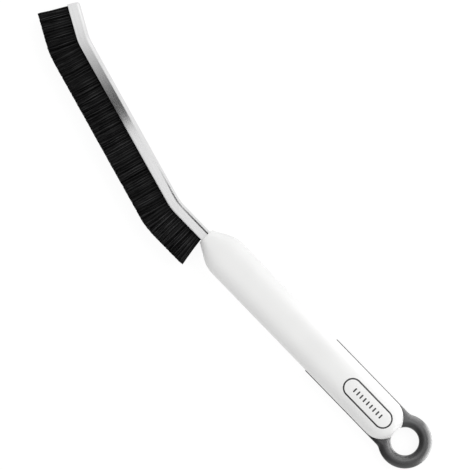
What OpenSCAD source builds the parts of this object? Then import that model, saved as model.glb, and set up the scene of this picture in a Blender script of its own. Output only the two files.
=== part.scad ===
// Crevice brush: a bent strip brush held in a slim handle with a hanging ring.
// The origin is the centre of the hanging hole. +X runs up the handle to the brush,
// +Y is the side that the bristles point to, and +Z is the front of the handle.
// The brush lies on the flat back of its handle. Every size is in millimetres.

/* [Hanging ring] */
// Diameter of the hanging hole
hole_d = 13; // [11:0.5:14]
// Outside diameter of the ring
ring_od = 25.2; // [24:0.2:29]
// Thickness of the ring. The tongue and the back shell are half as thick
ring_t = 6.4; // [5.6:0.2:7.2]
// Rounding of the ring's edges
ring_edge_r = 2.2; // [0.8:0.1:2.4]
// Radius of the hollow corner where the ring runs into the tongue
corner_r = 5; // [2:0.5:8]

/* [Hanger tongue] */
// From the hole's centre to the front end of the tongue
tongue_len = 55.6; // [45:0.5:65]
// How far each side of the tongue stands proud of the handle
tongue_proud = 0.6; // [0.2:0.1:0.8]
// Rounding of the back edges of the tongue and the back shell
back_edge_r = 2.2; // [0.8:0.1:2.4]

/* [Handle] */
// Length of the front shell, from its nose to its round end
handle_len = 126.8; // [115:1:140]
// Width of the handle
handle_w = 20; // [18.5:0.5:22]
// From the hole's centre to the round end of the front shell
end_reach = 5.45; // [5:0.05:6.3]
// Draft of the cut that clears the hanging hole in that end, in degrees
mouth_draft = 4; // [3:0.5:8]
// Height of the front shell above the seam
front_h = 9.8; // [9:0.2:12]
// Power of the crown's curve: 2 is an ellipse and more is flatter
crown_power = 3; // [2.6:0.1:3.6]
// Wall of the front shell round its hollow
wall = 2.2; // [1.6:0.1:2.8]
// Gap between pieces that are set side by side
seat_gap = 0.1; // [0.05:0.05:0.2]

/* [Nose] */
// Width of the nose's front face
nose_w = 8; // [8:0.2:10]
// Height of the nose above the seam
nose_h = 8.1; // [7.9:0.1:8.6]
// Depth of the nose below the seam
nose_back = 1.8; // [1.5:0.1:2.4]
// Angle of the nose's sides to the handle, in degrees
nose_slope = 29.4; // [24:0.5:36]
// Radius of the shoulder between the nose and the straight handle
shoulder_r = 15; // [8:1:18]
// Rounding of the edge of the nose's front face, at most what its wall has room for
nose_edge_r = 0.4; // [0.3:0.1:0.7]

/* [Snap pegs] */
// Diameter of the pegs that hold the handle together
peg_d = 3; // [2.4:0.2:3.4]
// Height of the pegs above the seam
peg_h = 5; // [4:0.5:6]
// Wall of the bosses that take the pegs
boss_wall = 1.8; // [1.4:0.2:2.4]
// From a peg to the end of what it stands on
peg_inset = 7; // [5:0.5:9]

/* [Strip] */
// Depth of the strip's channel, from its spine to its lips
strip_d = 5.6; // [5:0.1:6]
// Width of the strip's channel, front to back
strip_w = 5; // [4.4:0.1:5.2]
// Thickness of the strip's sheet metal
strip_wall = 0.5; // [0.4:0.05:0.7]
// Outer rounding of the strip's spine, at most what its width has room for
spine_r = 2.2; // [0.8:0.1:2.3]
// Height of the strip's middle above the seam
strip_z = 3.1; // [3:0.05:3.3]
// Length of the strip inside the handle
shank_len = 34; // [30:1:38]
// Straight length of the strip from the nose to its first bend
neck_len = 17.1; // [12:0.1:24]
// Straight length of the strip between its bends
middle_len = 81; // [60:1:110]
// Straight length of the strip after its second bend
tip_len = 15.1; // [10:0.1:24]
// Angle of the bend near the handle, in degrees
near_bend = 15; // [8:0.5:20]
// Angle of the bend near the tip, in degrees
far_bend = 13.3; // [8:0.1:20]
// Radius of both bends at the strip's middle line
bend_r = 23.2; // [18:0.2:32]
// Rounding of the corner at the tip of the spine
tip_corner_r = 1.2; // [0.6:0.1:1.6]

/* [Strip pins] */
// Diameter of the two pins that lock the strip in the handle
pin_d = 2.4; // [1.8:0.1:2.8]
// From the nose to the first pin
pin_from_nose = 11; // [10:0.5:14]
// From the second pin to the strip's inner end
pin_inset = 7; // [4:0.5:9]
// Length of a pin above the strip, in the front shell
pin_bite = 1.8; // [1.2:0.1:2]
// Gap round a pin and round a peg
pin_gap = 0.05; // [0.02:0.01:0.1]

/* [Core wire] */
// Diameter of the wire that the bristles are folded round
wire_d = 1.6; // [1.2:0.1:1.8]
// How far the wire runs into the handle
wire_tail = 8; // [4:0.5:8.5]

/* [Bristles] */
// Length of the bristles that shows past the strip's lips
bristle_len = 14.4; // [10:0.2:20]
// Gap between the nose and the first bristles, at their roots
heel_gap = 0.8; // [0.4:0.1:3]
// How far the strip runs past the last bristles
tip_gap = 0.8; // [0.4:0.1:2]
// Distance between bristles along the strip
bristle_pitch = 1.195; // [1.1:0.005:1.4]
// Number of rows of bristles across the strip
bristle_rows = 4; // [3:1:4]
// Thickness of one bristle as a share of its room
bristle_share = 0.62; // [0.4:0.02:0.66]
// Lean of the last bristles towards the handle, in degrees
heel_lean = 9.5; // [0:0.5:14]
// Length of strip over which that lean fades out
heel_fade = 12; // [8:1:20]
// How far the outer rows spread at their tips
bristle_splay = 1; // [0:0.1:1.6]
// Most that a bristle is shorter than its full length
raggedness = 0.5; // [0:0.1:1]

/* [Label] */
// Length of the label's outline
label_len = 29; // [24:0.2:34]
// Width of the label's outline
label_w = 9.2; // [8:0.1:10.5]
// Thickness of the label's line
label_line = 0.75; // [0.4:0.05:1]
// Depth of the label below the middle of the crown
label_depth = 0.8; // [0.7:0.05:1.2]
// Number of plain marks inside the label
mark_count = 9; // [5:1:10]
// Length of one mark
mark_len = 2.4; // [1.6:0.1:3.2]
// Distance from one mark to the next
mark_pitch = 2.1; // [1.6:0.05:2.2]

/* [Hidden] */
$fn = 64;
// Cutters reach this far past what they cut
past = 1;

// Heights. The seam between the front shell and what closes it lies at height 0,
// which is the ring's middle plane too.
back_t = ring_t / 2;
strip_top = strip_z + strip_w / 2;
strip_bottom = strip_z - strip_w / 2;

// Places along the handle, from the hole's centre
hole_r = hole_d / 2;
ring_r = ring_od / 2;
nose_x = end_reach + handle_len;
end_r = handle_w / 2;
end_x = end_reach + end_r;
tongue_half = handle_w / 2 + tongue_proud;

// Plan of the nose, by the distance back from its front face. Its edge rounding takes less
// than half of the wall beside the strip.
nose_edge = min(nose_edge_r, 0.4 * ((nose_w - strip_d) / 2 - seat_gap));
slope_meets = (handle_w - nose_w) / 2 / tan(nose_slope);
shoulder_reach = shoulder_r * tan(nose_slope / 2);
slope_to = slope_meets - shoulder_reach * cos(nose_slope);
shoulder_to = slope_meets + shoulder_reach;

// Hollow of the front shell, behind the block that holds the strip
hollow_from = shank_len + 5;
boss_r = peg_d / 2 + boss_wall;
tongue_pegs = [end_x + peg_inset, tongue_len - peg_inset];
shell_pegs = [tongue_len + peg_inset, nose_x - hollow_from - peg_inset];
pin_places = [pin_from_nose, shank_len - pin_inset];

// Stretches of the strip's middle line, from the nose
near_from = neck_len;
near_to = near_from + bend_r * near_bend * PI / 180;
far_from = near_to + middle_len;
far_to = far_from + bend_r * far_bend * PI / 180;
strip_end = far_to + tip_len;
lip_off = strip_d / 2;
wire_off = -strip_d / 2 + strip_wall + pin_gap + wire_d / 2;
root_off = wire_off + wire_d / 2 + pin_gap;
spine_round = min(spine_r, strip_w / 2 - 0.2);

// How many points the curves of the handle have
crown_steps = 26;
edge_steps = 5;
hollow_steps = 16;
bend_steps = 8;
spine_steps = 6;
wire_sides = 12;

// A closed skin over rings of points. Each ring lies in a plane of its own, and cap
// lists the faces that close a ring, which is one face where its outline is convex.
module skin(rings, cap = undef) {
    count = len(rings[0]);
    last = len(rings) - 1;
    sides = [for (k = [0 : last - 1], j = [0 : count - 1])
        let (a = k * count + j, b = k * count + (j + 1) % count)
        each [[a, b, b + count], [a, b + count, a + count]]];
    ends = is_undef(cap) ? [[for (j = [0 : count - 1]) j]] : cap;
    first_cap = [for (face = ends) [for (j = [len(face) - 1 : -1 : 0]) face[j]]];
    last_cap = [for (face = ends) [for (j = face) last * count + j]];
    polyhedron([for (r = rings) each r], concat(sides, first_cap, last_cap), 4);
}

// Half the width of the handle's plan, before its edge rounding and its round end
function plan_half(b) =
    b < slope_to ? nose_w / 2 + b * tan(nose_slope) :
    b < shoulder_to ? handle_w / 2 - shoulder_r + sqrt(pow(shoulder_r, 2) - pow(shoulder_to - b, 2)) :
    handle_w / 2;
// 0 at the nose's front face and 1 on the straight handle
function nose_share(b) = (plan_half(b) - nose_w / 2) / (handle_w / 2 - nose_w / 2);
function nose_round(b) =
    b < nose_edge ? nose_edge - sqrt(pow(nose_edge, 2) - pow(nose_edge - b, 2)) : 0;
function front_height(b) = nose_h + (front_h - nose_h) * nose_share(b) - nose_round(b);
function back_depth(b) = nose_back + (back_t - nose_back) * nose_share(b) - nose_round(b);
function crown(share) = pow(max(0, 1 - pow(min(1, share), crown_power)), 1 / crown_power);
// A point's place across the section, from 1 on one side to -1 on the other
function across(j, steps) = let (c = cos(180 * j / steps)) sign(c) * pow(abs(c), 2 / crown_power);

// Distances back from the nose at which the nose's rings lie
nose_rings = concat(
    [for (k = [0 : 3]) nose_edge * (1 - cos(30 * k))],
    [for (k = [0 : 7]) slope_to + (shoulder_to - slope_to) * k / 7]);

// One ring of the front shell's skin, crowned across, on the nose or the straight handle
function front_ring(b, inset, floor_z, steps) =
    let (w = plan_half(b) - nose_round(b) - inset, h = front_height(b) - inset)
    concat([[nose_x - b, w, floor_z]],
        [for (j = [0 : steps]) let (t = across(j, steps)) [nose_x - b, w * t, h * crown(abs(t))]],
        [[nose_x - b, -w, floor_z]]);
// One ring of the round end, which is the straight section's profile turned about the end's centre
function dome_ring(turn, inset, floor_z, steps) =
    let (r = end_r - inset, w = r * cos(turn), x = end_x - r * sin(turn), h = front_h - inset)
    concat([[x, w, floor_z]],
        [for (j = [0 : steps]) let (t = across(j, steps))
            [x, w * t, h * crown(sqrt(pow(sin(turn), 2) + pow(cos(turn) * t, 2)))]],
        [[x, -w, floor_z]]);

// The whole outer form of the handle above the seam
module front_form() {
    skin(concat(
        [for (b = nose_rings) front_ring(b, 0, 0, crown_steps)],
        [for (k = [0 : 11]) dome_ring(87 * k / 11, 0, 0, crown_steps)]));
}

// The hollow behind the nose block, open at the seam
module front_hollow() {
    skin(concat(
        [front_ring(hollow_from, wall, -past, hollow_steps)],
        [for (k = [0 : 6]) dome_ring(80 * k / 6, wall, -past, hollow_steps)]));
}

// The socket for the strip, open at the nose and at the seam
module strip_socket() {
    translate([nose_x - shank_len - seat_gap, -strip_d / 2 - seat_gap, -past])
        cube([shank_len + seat_gap + past, strip_d + 2 * seat_gap, strip_top + seat_gap + past]);
}

// Holes for the strip's pins from height low to height high
module pin_holes(low, high) {
    for (b = pin_places)
        translate([nose_x - b, 0, low]) cylinder(d = pin_d + 2 * pin_gap, h = high - low);
}

pin_top = strip_top + seat_gap + pin_bite;
pin_bottom = -back_t / 2;

module front_shell() {
    color("white")
    difference() {
        union() {
            difference() {
                front_form();
                front_hollow();
            }
            for (x = concat(tongue_pegs, shell_pegs))
                translate([x, 0, seat_gap]) cylinder(r = boss_r, h = front_h - wall / 2 - seat_gap);
        }
        for (x = concat(tongue_pegs, shell_pegs))
            translate([x, 0, -past]) cylinder(d = peg_d + 2 * pin_gap, h = peg_h + seat_gap + past);
        strip_socket();
        pin_holes(strip_top, pin_top + seat_gap);
        label_shape();
        mouth_cut();
    }
}

// Keeps the round end of the front shell clear of the hanging hole, wider towards the front
module mouth_cut() {
    low_r = hole_r + seat_gap;
    translate([0, 0, -past]) cylinder(r = low_r, h = past);
    cylinder(r1 = low_r, r2 = low_r + (front_h + past) * tan(mouth_draft), h = front_h + past);
}

// One ring of the back shell, flat on its back with rounded edges
function back_ring(b) =
    let (w = plan_half(b) - nose_round(b), h = back_depth(b), r = min(back_edge_r, h - 0.2))
    concat([[nose_x - b, -w, 0]],
        [for (j = [0 : edge_steps]) let (a = 90 * j / edge_steps)
            [nose_x - b, -w + r - r * cos(a), -h + r - r * sin(a)]],
        [for (j = [edge_steps : -1 : 0]) let (a = 90 * j / edge_steps)
            [nose_x - b, w - r + r * cos(a), -h + r - r * sin(a)]],
        [[nose_x - b, w, 0]]);

module back_shell() {
    back_len = nose_x - tongue_len - seat_gap;
    color("white")
    difference() {
        union() {
            skin([for (b = concat(nose_rings, [back_len])) back_ring(b)]);
            // The rib that carries the strip from below
            translate([nose_x - shank_len, -strip_d / 2, -past])
                cube([shank_len - nose_edge, strip_d, past + strip_bottom - seat_gap]);
            for (x = shell_pegs) translate([x, 0, -past]) cylinder(d = peg_d, h = peg_h + past);
        }
        pin_holes(pin_bottom - seat_gap, strip_bottom);
    }
}

// Section through the ring's band, from the hole outwards
module ring_section() {
    band = ring_r - hole_r;
    edge = min(ring_edge_r, band / 2 - 0.2, ring_t / 2 - 0.4);
    translate([hole_r, 0]) rounded_strip(band, ring_t, edge, edge);
}

// A slab from 0 to length, thick across its middle line, with its two ends' edges rounded
module rounded_strip(length, thick, start_r, end_r) {
    difference() {
        translate([0, -thick / 2]) square([length, thick]);
        for (side = [-1, 1]) {
            translate([0, side * thick / 2]) edge_cut(start_r, -side);
            translate([length, side * thick / 2]) mirror([1, 0]) edge_cut(end_r, -side);
        }
    }
}

// What rounding an edge takes away at a corner, on the side that up names
module edge_cut(r, up) {
    difference() {
        translate([-past, up > 0 ? -past : -r]) square([past + r, past + r]);
        translate([r, up * r]) circle(r);
    }
}

// Section across the tongue, as thick as the ring
module tongue_section(edge) {
    translate([-tongue_half, 0]) rounded_strip(2 * tongue_half, ring_t, edge, edge);
}

module along_x(from, to) {
    translate([from, 0, 0]) rotate([90, 0, 90]) linear_extrude(to - from) children();
}

// The hollow corner between the ring and the tongue, with the ring's edges
module ring_corner() {
    y = tongue_half + corner_r;
    x = sqrt(pow(ring_r + corner_r, 2) - pow(y, 2));
    turn = atan2(x, y);
    translate([x, y, 0]) rotate([0, 0, 270 - turn]) rotate_extrude(angle = turn)
        translate([corner_r, 0])
            rounded_strip(ring_r - hole_r, ring_t, min(ring_edge_r, ring_t / 2 - 0.4), 0.01);
}

module hanger_body() {
    difference() {
        union() {
            rotate_extrude() ring_section();
            along_x(0, end_x) tongue_section(ring_edge_r);
            intersection() {
                along_x(end_x, tongue_len) tongue_section(back_edge_r);
                translate([0, -ring_od, -ring_t]) cube([tongue_len + past, 2 * ring_od, ring_t]);
            }
            ring_corner();
            mirror([0, 1, 0]) ring_corner();
        }
        // The hole, with the ring's rounded edge all round it
        rotate_extrude() difference() {
            translate([0, -ring_t]) square([hole_r + ring_edge_r, 2 * ring_t]);
            ring_section();
        }
        // The seat of the front shell's round end
        translate([end_x, 0, 0]) cylinder(r = end_r + seat_gap, h = ring_t);
    }
}

module hanger() {
    color("dimgray") {
        hanger_body();
        for (x = tongue_pegs) translate([x, 0, -past]) cylinder(d = peg_d, h = peg_h + past);
    }
}

// The label's outline and marks as a prism that stands on the label's floor
module label_shape() {
    far_x = end_x + label_len - label_w;
    translate([0, 0, front_h - label_depth]) linear_extrude(label_depth + past) {
        difference() {
            label_pill(label_w / 2, far_x);
            label_pill(label_w / 2 - label_line, far_x);
        }
        for (k = [0 : mark_count - 1])
            translate([(end_x + far_x) / 2 + (k - (mark_count - 1) / 2) * mark_pitch, 0])
                label_mark(label_line / 2);
    }
}
module label_pill(r, far_x) {
    translate([end_x, -r]) square([far_x - end_x, 2 * r]);
    for (x = [end_x, far_x]) translate([x, 0]) circle(r);
}
module label_mark(r) {
    translate([-r, -mark_len / 2 + r]) square([2 * r, mark_len - 2 * r]);
    for (side = [-1, 1]) translate([0, side * (mark_len / 2 - r)]) circle(r);
}

module label_print() {
    color("dimgray")
    intersection() {
        front_form();
        label_shape();
    }
}

module shank_pins() {
    color("silver")
    for (b = pin_places)
        translate([nose_x - b, 0, pin_bottom]) cylinder(d = pin_d, h = pin_top - pin_bottom);
}

// Direction of the strip's middle line at a distance from the nose, in degrees
function heading(d) =
    -near_bend * min(1, max(0, (d - near_from) / (near_to - near_from)))
    - far_bend * min(1, max(0, (d - far_from) / (far_to - far_from)));
function direction(h) = [cos(h), sin(h)];
// How far an arc of radius 1 goes while its direction turns from one angle to another
function arc_shift(h0, h1) = [sin(h0) - sin(h1), cos(h1) - cos(h0)];
function line_point(d) =
    let (h = heading(d))
    [nose_x, 0] + min(d, near_from) * direction(0)
    + bend_r * arc_shift(0, max(h, -near_bend))
    + min(max(d - near_to, 0), middle_len) * direction(-near_bend)
    + bend_r * arc_shift(-near_bend, min(h, -near_bend))
    + max(d - far_to, 0) * direction(-near_bend - far_bend);
// A point beside the middle line: off towards the bristles and up towards the front
function beside(d, off, up) =
    let (h = heading(d), p = line_point(d))
    [p.x - off * sin(h), p.y + off * cos(h), strip_z + up];

// Distances from the nose at which a skin along the strip has its rings
function strip_rings(from, to) = concat([from],
    [for (k = [0 : bend_steps]) near_from + (near_to - near_from) * k / bend_steps],
    [for (k = [0 : bend_steps]) far_from + (far_to - far_from) * k / bend_steps],
    [to]);
// Carries a flat outline, as a list of [off, up] points, along the strip's middle line
module along_strip(outline, from, to, cap = undef) {
    skin([for (d = strip_rings(from, to)) [for (q = outline) beside(d, q.x, q.y)]], cap);
}

// A quarter of the rounding at the spine, from the wall to the spine's flat
function spine_arc(r, low, half) = [for (j = [0 : spine_steps]) let (a = 90 * j / spine_steps)
    [low + r - r * sin(a), half - r + r * cos(a)]];
// One skin of the strip's section, from the front lip round the spine to the back lip
function spine_line(inset) =
    let (front = concat([[lip_off, strip_w / 2 - inset]],
        spine_arc(spine_round - inset, -strip_d / 2 + inset, strip_w / 2 - inset)))
    concat(front, [for (j = [len(front) - 1 : -1 : 0]) [front[j].x, -front[j].y]]);
strip_outline = let (inner = spine_line(strip_wall))
    concat([for (j = [len(inner) - 1 : -1 : 0]) inner[j]], spine_line(0));
// The strip's section is closed by a row of faces from its inner skin to its outer one
strip_cap = let (half = len(strip_outline) / 2)
    [for (j = [0 : half - 2]) [half - 1 - j, half + j, half + j + 1, half - 2 - j]];

module strip_channel() {
    end = line_point(strip_end);
    color("silver")
    difference() {
        along_strip(strip_outline, -shank_len, strip_end, strip_cap);
        pin_holes(0, front_h);
        // The rounded corner at the tip of the spine
        translate([end.x, end.y, 0]) rotate([0, 0, heading(strip_end)])
            translate([0, -strip_d / 2, 0]) linear_extrude(front_h) mirror([1, 0])
                edge_cut(tip_corner_r, 1);
    }
}

module core_wire() {
    color("darkgray")
    along_strip([for (j = [0 : wire_sides - 1]) let (a = -360 * j / wire_sides)
        [wire_off + wire_d / 2 * cos(a), wire_d / 2 * sin(a)]], -wire_tail, strip_end - tip_gap);
}

// Half the width of the folded roots between the strip's walls
root_half = strip_w / 2 - strip_wall - pin_gap;
// One random number from 0 to 1 for each bristle of a run
function scatter(count, seed) = rands(0, 1, count, seed);

// A run of bristles, fused to their folded roots. Each bristle has three sides and rises
// from the middle of its own cell of the roots' face.
module bristle_run(from, to, seed) {
    columns = round((to - from) / bristle_pitch);
    rows = bristle_rows;
    step = (to - from) / columns;
    room = 2 * root_half / rows;
    cells = columns * rows;
    short = scatter(cells, seed);
    edge_count = (columns + 1) * (rows + 1);
    // The corners of the cells, on the face at the strip's lips
    face = [for (c = [0 : columns], r = [0 : rows])
        beside(from + c * step, lip_off, root_half - r * room)];
    // The two lower corners of the roots at each column's edge
    low = [for (c = [0 : columns], side = [1, -1])
        beside(from + c * step, root_off, side * root_half)];
    // Feet and tips of the bristles, three points each
    feet = [for (c = [0 : columns - 1], r = [0 : rows - 1]) each
        foot(from + (c + 0.5) * step, root_half - (r + 0.5) * room, step, room, (c + r) % 2)];
    tips = [for (c = [0 : columns - 1], r = [0 : rows - 1]) let (
            d = from + (c + 0.5) * step,
            k = c * rows + r,
            lean = heading(d) + heel_lean * pow(max(0, 1 - (d - heel_gap) / heel_fade), 2),
            length = bristle_len - raggedness * short[k],
            spread = bristle_splay * (1 - 2 * (r + 0.5) / rows),
            shift = [-length * sin(lean), length * cos(lean), spread])
        each [for (q = [0 : 2]) feet[3 * k + q] + shift]];
    at_low = edge_count;
    at_feet = at_low + 2 * (columns + 1);
    at_tips = at_feet + 3 * cells;
    cell_faces = [for (c = [0 : columns - 1], r = [0 : rows - 1])
        let (k = c * rows + r, a = c * (rows + 1) + r, b = a + rows + 1,
            flip = (c + r) % 2,
            p = at_feet + 3 * k, t = at_tips + 3 * k)
        each concat(flip == 0 ? cell_ring(a, b, b + 1, a + 1, p, p + 1, p + 2)
                : cell_ring(b + 1, a + 1, a, b, p, p + 1, p + 2),
            [for (q = [0 : 2]) let (n = (q + 1) % 3)
                each [[p + q, p + n, t + n], [p + q, t + n, t + q]]],
            [[t, t + 1, t + 2]])];
    root_faces = [for (c = [0 : columns - 1])
        let (a = c * (rows + 1), b = a + rows + 1, l = at_low + 2 * c)
        each [[a, l, l + 2], [a, l + 2, b],
            [a + rows, b + rows, l + 3], [a + rows, l + 3, l + 1],
            [l, l + 1, l + 3], [l, l + 3, l + 2]]];
    first_end = concat([for (r = [0 : rows - 1]) [at_low, r, r + 1]],
        [[at_low, rows, at_low + 1]]);
    f = columns * (rows + 1);
    g = at_low + 2 * columns;
    last_end = concat([for (r = [0 : rows - 1]) [g, f + r + 1, f + r]], [[g, g + 1, f + rows]]);
    polyhedron(concat(face, low, feet, tips),
        concat(cell_faces, root_faces, first_end, last_end), 4);
}
// The three feet of a bristle round its cell's middle, point up or point down
function foot(d, up, step, room, flip) =
    let (u = bristle_share * step / 2, v = bristle_share * room / 2, s = flip == 0 ? 1 : -1)
    [beside(d - s * u, lip_off, up + s * v), beside(d + s * u, lip_off, up + s * v),
        beside(d, lip_off, up - s * v)];
// The face of one cell round its bristle's foot
function cell_ring(a, b, c, d, p, q, r) =
    [[a, b, q], [a, q, p], [b, c, q], [c, r, q], [c, d, r], [d, p, r], [d, a, p]];

bristle_colour = [0.09, 0.09, 0.1];
near_middle = (near_from + near_to) / 2;
far_middle = (far_from + far_to) / 2;
module bristles_heel() {
    color(bristle_colour) bristle_run(heel_gap, near_middle - pin_gap / 2, 11);
}
module bristles_middle() {
    color(bristle_colour) bristle_run(near_middle + pin_gap / 2, far_middle - pin_gap / 2, 12);
}
module bristles_tip() {
    color(bristle_colour) bristle_run(far_middle + pin_gap / 2, strip_end - tip_gap, 13);
}

front_shell();
back_shell();
hanger();
label_print();
shank_pins();
strip_channel();
core_wire();
bristles_heel();
bristles_middle();
bristles_tip();
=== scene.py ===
# %% [markdown]
# A slim brush for gaps and grooves: a bent strip of sheet steel full of black bristles, held in a
# white handle with a dark grey back plate that ends in a hanging ring. This notebook dresses its
# solid model, which is loaded first and is never moved or reshaped. A piece that needs more detail
# gets a mesh of its own, in the same place and of the same size.

# %% Load the solid model
import math
import random

import bmesh
import bpy
import numpy as np
from mathutils import Matrix, Vector
from mathutils.geometry import delaunay_2d_cdt


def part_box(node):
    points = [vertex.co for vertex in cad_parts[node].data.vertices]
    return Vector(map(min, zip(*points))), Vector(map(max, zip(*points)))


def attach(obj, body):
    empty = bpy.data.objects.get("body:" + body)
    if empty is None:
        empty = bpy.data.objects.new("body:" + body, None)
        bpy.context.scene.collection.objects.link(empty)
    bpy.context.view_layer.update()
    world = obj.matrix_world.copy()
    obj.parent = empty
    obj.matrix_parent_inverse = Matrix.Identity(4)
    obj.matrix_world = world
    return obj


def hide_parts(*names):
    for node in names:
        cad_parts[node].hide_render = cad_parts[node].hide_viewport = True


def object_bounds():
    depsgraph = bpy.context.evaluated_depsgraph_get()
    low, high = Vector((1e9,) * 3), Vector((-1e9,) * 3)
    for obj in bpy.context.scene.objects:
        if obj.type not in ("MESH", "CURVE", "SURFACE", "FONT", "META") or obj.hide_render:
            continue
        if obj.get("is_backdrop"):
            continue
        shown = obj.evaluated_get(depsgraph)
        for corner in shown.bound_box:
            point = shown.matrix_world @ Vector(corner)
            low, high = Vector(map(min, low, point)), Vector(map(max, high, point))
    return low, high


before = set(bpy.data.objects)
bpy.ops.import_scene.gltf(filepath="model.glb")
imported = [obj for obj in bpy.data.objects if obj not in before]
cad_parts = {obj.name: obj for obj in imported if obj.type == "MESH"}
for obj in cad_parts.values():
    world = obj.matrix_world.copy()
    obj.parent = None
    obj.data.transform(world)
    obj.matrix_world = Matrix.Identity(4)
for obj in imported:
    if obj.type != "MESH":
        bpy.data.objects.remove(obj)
solid_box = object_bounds()
print("solid pieces:", ", ".join(sorted(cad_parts)))

# %% [markdown]
# Sizes are written in millimetres, because that is how a toolmaker thinks of a brush, and turned
# into Blender's metres when a mesh is made. The main ones are read from the boxes of the solid
# pieces, so the meshes follow the solid model. The origin is the centre of the hanging hole. X runs
# up the handle to the brush, Y is the side that the bristles point to, and Z is the front.

# %% Sizes read from the solid pieces
MM = 0.001


def box_mm(node):
    """Lowest and highest corner of a solid piece, in millimetres."""
    return [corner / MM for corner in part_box(node)]


shell_high = box_mm("front_shell")[1]
hanger_low, hanger_high = box_mm("hanger")
strip_low, strip_high = box_mm("strip_channel")
nose_x = shell_high.x
handle_half = shell_high.y
front_h = shell_high.z
back_t = -hanger_low.z
ring_r = -hanger_low.x
tongue_len = hanger_high.x
shank_len = nose_x - strip_low.x
strip_w = strip_high.z - strip_low.z
strip_z = (strip_high.z + strip_low.z) / 2
print(f"handle {2 * handle_half:.1f} wide, nose at {nose_x:.1f}, ring {2 * ring_r:.1f} across, mm")

# %% [markdown]
# The camera looks straight down on the front of the brush from far off, through a long lens, so
# that nothing looks tapered. The brush lies across the picture from corner to corner, which is
# done by turning the camera and not the brush.

# %% Camera
PICTURE_PX = 470
MM_PER_PX = 0.4615
PICTURE_CENTRE = Vector((123.24, -10.02, 3.0))
HANDLE_TURN = 45.89
LENS = 200
SENSOR = 36


def linked(name, data):
    """A new object, put in the scene."""
    item = bpy.data.objects.new(name, data)
    bpy.context.scene.collection.objects.link(item)
    return item


camera = linked("camera", bpy.data.cameras.new("camera"))
camera.data.lens = LENS
camera.data.sensor_width = SENSOR
distance = PICTURE_PX * MM_PER_PX * LENS / SENSOR
camera.location = (PICTURE_CENTRE + Vector((0, 0, distance))) * MM
camera.rotation_euler = (0, 0, math.radians(180 + HANDLE_TURN))
camera.data.clip_start = 0.05
camera.data.clip_end = 20
bpy.context.scene.camera = camera
screen_right = Vector((math.cos(camera.rotation_euler.z), math.sin(camera.rotation_euler.z), 0))
screen_up = Vector((-screen_right.y, screen_right.x, 0))
print(f"camera {distance:.0f} mm above the brush")

# %% [markdown]
# A material is a small tree of nodes. Wiring them by hand hides the sum that they work out, so a
# class wraps a node's output and lets sums be written as sums: 1 - mask adds one Math node. Numbers
# use Math nodes, directions use Vector Math and colours use Mix, because Math turns a colour grey.
# Every other node comes from one method, which sets its kind before its sockets.

# %% Sums on sockets
class Socket:
    """An output in a material that adds, subtracts and multiplies like a number."""

    def __init__(self, finish, out):
        self.finish = finish
        self.out = out

    def _sum(self, operation, first, second):
        kinds = {s.out.type for s in (first, second) if isinstance(s, Socket)}
        if "RGBA" in kinds:
            blend = {"blend_type": operation, "data_type": "RGBA", "clamp_result": False}
            pair = {0: 1.0, 6: parts_of(first, 1.0), 7: parts_of(second, 1.0)}
            return self.finish.node("Mix", blend, pair, 2)
        if "VECTOR" in kinds:
            return self.finish.node("VectorMath", {"operation": operation},
                                    {0: parts_of(first), 1: parts_of(second)})
        return self.finish.node("Math", {"operation": operation}, {0: first, 1: second})

    def __add__(self, other):
        return self._sum("ADD", self, other)

    def __radd__(self, other):
        return self._sum("ADD", other, self)

    def __sub__(self, other):
        return self._sum("SUBTRACT", self, other)

    def __rsub__(self, other):
        return self._sum("SUBTRACT", other, self)

    def __mul__(self, other):
        return self._sum("MULTIPLY", self, other)

    def __rmul__(self, other):
        return self._sum("MULTIPLY", other, self)


def parts_of(value, *alpha):
    """A socket as it is, or a number or triple as three parts, with alpha for a colour."""
    if isinstance(value, Socket):
        return value
    three = (value,) * 3 if isinstance(value, (int, float)) else value
    return (*three, *alpha)


print("a number as a colour:", parts_of(0.5, 1.0), "and as a direction:", parts_of(0.5))

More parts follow.
